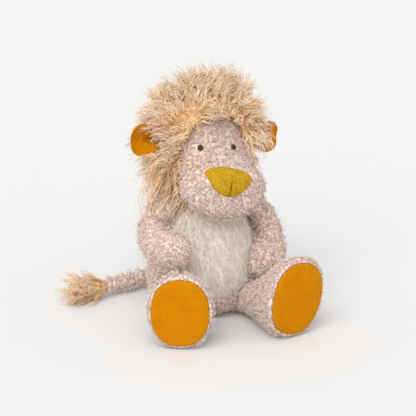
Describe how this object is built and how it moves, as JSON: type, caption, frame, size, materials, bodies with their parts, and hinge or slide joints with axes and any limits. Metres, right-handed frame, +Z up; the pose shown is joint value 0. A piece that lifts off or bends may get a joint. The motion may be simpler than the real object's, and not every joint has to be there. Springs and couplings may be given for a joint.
{
  "type": "plush lion",
  "caption": "Seated plush lion with a long-pile mane, felt nose, bead eyes, linen ears and soles, soft jointed limbs and a tufted tail.",
  "frame": {"origin": "on the floor under the seat, midway between the hips' sides", "axes": "+Z up, -Y the way the lion faces, +X towards the lion's left"},
  "size_m": [0.2867, 0.2298, 0.2847],
  "materials": {
    "beige_plush": "short curly pile, matt",
    "cream_plush": "short soft pile, matt",
    "white_stuffing": "loose fibre",
    "orange_linen": "plain weave, matt",
    "mustard_felt": "felt, matt",
    "blond_long_pile": "long wavy pile, matt",
    "black_bead": "polished",
    "white_washer": "moulded",
    "pouch_cloth": "plain cloth"
  },
  "bodies": {
    "torso": {"torso_skin": "beige_plush", "belly_panel": "cream_plush", "torso_stuffing": "white_stuffing", "granule_pouch": "pouch_cloth"},
    "neck": {"neck_stuffing": "white_stuffing"},
    "head": {"head_skin": "beige_plush", "head_stuffing": "white_stuffing", "nose_pad": "mustard_felt", "mane": "blond_long_pile", "eye_left": "black_bead", "eye_right": "black_bead", "eye_washer_left": "white_washer", "eye_washer_right": "white_washer"},
    "ear_left": {"ear_back_left": "beige_plush", "ear_lining_left": "orange_linen"},
    "ear_right": {"ear_back_right": "beige_plush", "ear_lining_right": "orange_linen"},
    "arm_left": {"arm_skin_left": "beige_plush", "arm_stuffing_left": "white_stuffing"},
    "arm_right": {"arm_skin_right": "beige_plush", "arm_stuffing_right": "white_stuffing"},
    "leg_left": {"leg_skin_left": "beige_plush", "leg_stuffing_left": "white_stuffing", "sole_pad_left": "orange_linen"},
    "leg_right": {"leg_skin_right": "beige_plush", "leg_stuffing_right": "white_stuffing", "sole_pad_right": "orange_linen"},
    "tail": {"tail_skin": "beige_plush", "tail_stuffing": "white_stuffing", "tail_tuft": "blond_long_pile"}
  },
  "joints": [
    {"name": "head_nod", "type": "hinge", "parent": "torso", "child": "neck", "pos_m": [0, 0.008, 0.151], "axis": [1, 0, 0], "range_deg": [-15, 5], "stiffness_Nm_per_rad": 0.5},
    {"name": "head_turn", "type": "hinge", "parent": "neck", "child": "head", "pos_m": [0, 0.008, 0.151], "axis": [0, 0, 1], "range_deg": [-28, 12], "stiffness_Nm_per_rad": 0.3},
    {"name": "ear_flop_left", "type": "hinge", "parent": "head", "child": "ear_left", "pos_m": [0.04697, 0.02151, 0.20347], "axis": [0, 0, -1], "range_deg": [-4, 15], "stiffness_Nm_per_rad": 0.01},
    {"name": "ear_flop_right", "type": "hinge", "parent": "head", "child": "ear_right", "pos_m": [-0.03913, 0.00788, 0.2111], "axis": [0, 0, 1], "range_deg": [-4, 15], "stiffness_Nm_per_rad": 0.01},
    {"name": "arm_swing_left", "type": "hinge", "parent": "torso", "child": "arm_left", "pos_m": [0.049, 0.004, 0.129], "axis": [0, -1, 0], "range_deg": [0, 60], "stiffness_Nm_per_rad": 0.1},
    {"name": "arm_swing_right", "type": "hinge", "parent": "torso", "child": "arm_right", "pos_m": [-0.049, 0.004, 0.129], "axis": [0, 1, 0], "range_deg": [0, 60], "stiffness_Nm_per_rad": 0.1},
    {"name": "leg_splay_left", "type": "hinge", "parent": "torso", "child": "leg_left", "pos_m": [0.0445, -0.0445, 0.0225], "axis": [0, 0, 1], "range_deg": [-9, 8], "stiffness_Nm_per_rad": 0.12},
    {"name": "leg_splay_right", "type": "hinge", "parent": "torso", "child": "leg_right", "pos_m": [-0.042, -0.043, 0.0225], "axis": [0, 0, -1], "range_deg": [-4, 28], "stiffness_Nm_per_rad": 0.12},
    {"name": "tail_sweep", "type": "hinge", "parent": "torso", "child": "tail", "pos_m": [0, 0.0665, 0.0245], "axis": [0, 0, 1], "range_deg": [-45, 5], "stiffness_Nm_per_rad": 0.02}
  ]
}
